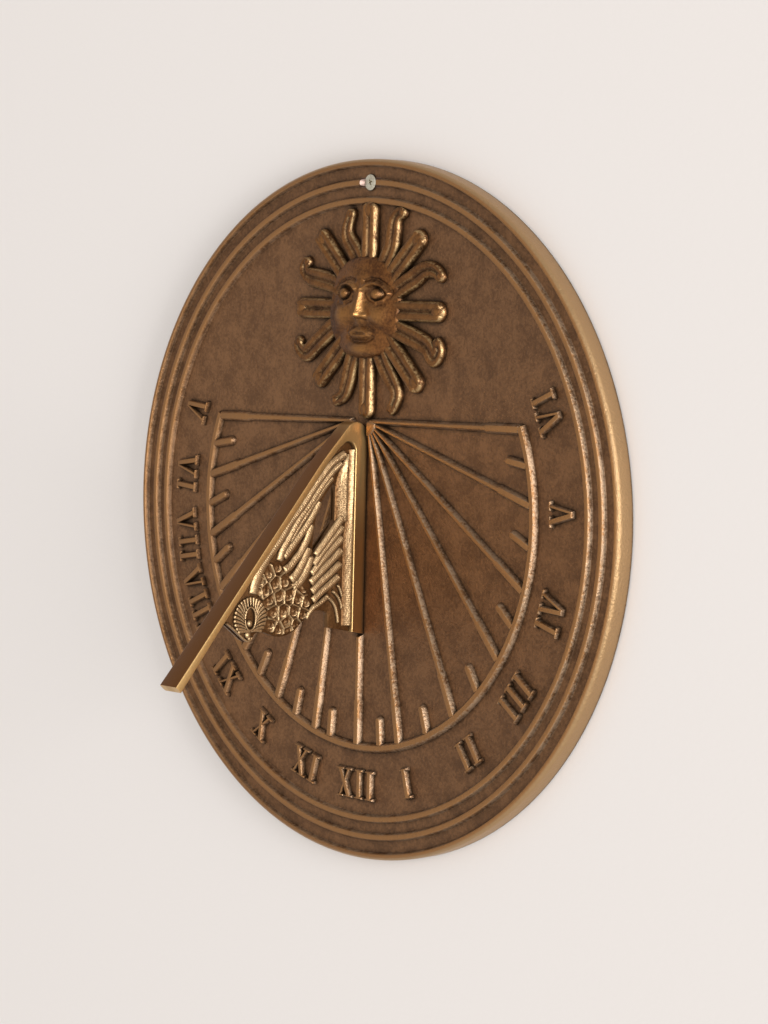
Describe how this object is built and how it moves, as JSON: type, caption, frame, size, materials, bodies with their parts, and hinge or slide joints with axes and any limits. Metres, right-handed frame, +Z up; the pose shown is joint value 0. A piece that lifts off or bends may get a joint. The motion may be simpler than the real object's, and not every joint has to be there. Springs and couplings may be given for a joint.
{
  "type": "wall sundial",
  "caption": "Round cast wall sundial with a relief sun above a fan of hour lines, and an angled gnomon frame holding a pierced bird panel, hung on one wall screw.",
  "frame": {"origin": "centre of the plate's back, in the plane of the wall", "axes": "+Y into the wall, so the dial faces -Y; +Z up, towards the sun and the hanging screw; +X to the right of someone facing the dial"},
  "size_m": [0.305, 0.1455, 0.305],
  "materials": {
    "plate_brass": "sand-cast brass with a dark brown patina, rubbed lighter on the raised work",
    "gnomon_brass": "cast brass, linished bright on the frame and patinated in the panel",
    "screw_steel": "plain machine screw",
    "zinc_steel": "bright zinc plate"
  },
  "bodies": {
    "root": {"dial_plate": "plate_brass", "gnomon": "gnomon_brass", "gnomon_screw_upper": "screw_steel", "gnomon_screw_lower": "screw_steel", "wall_screw": "zinc_steel"}
  },
  "joints": []
}
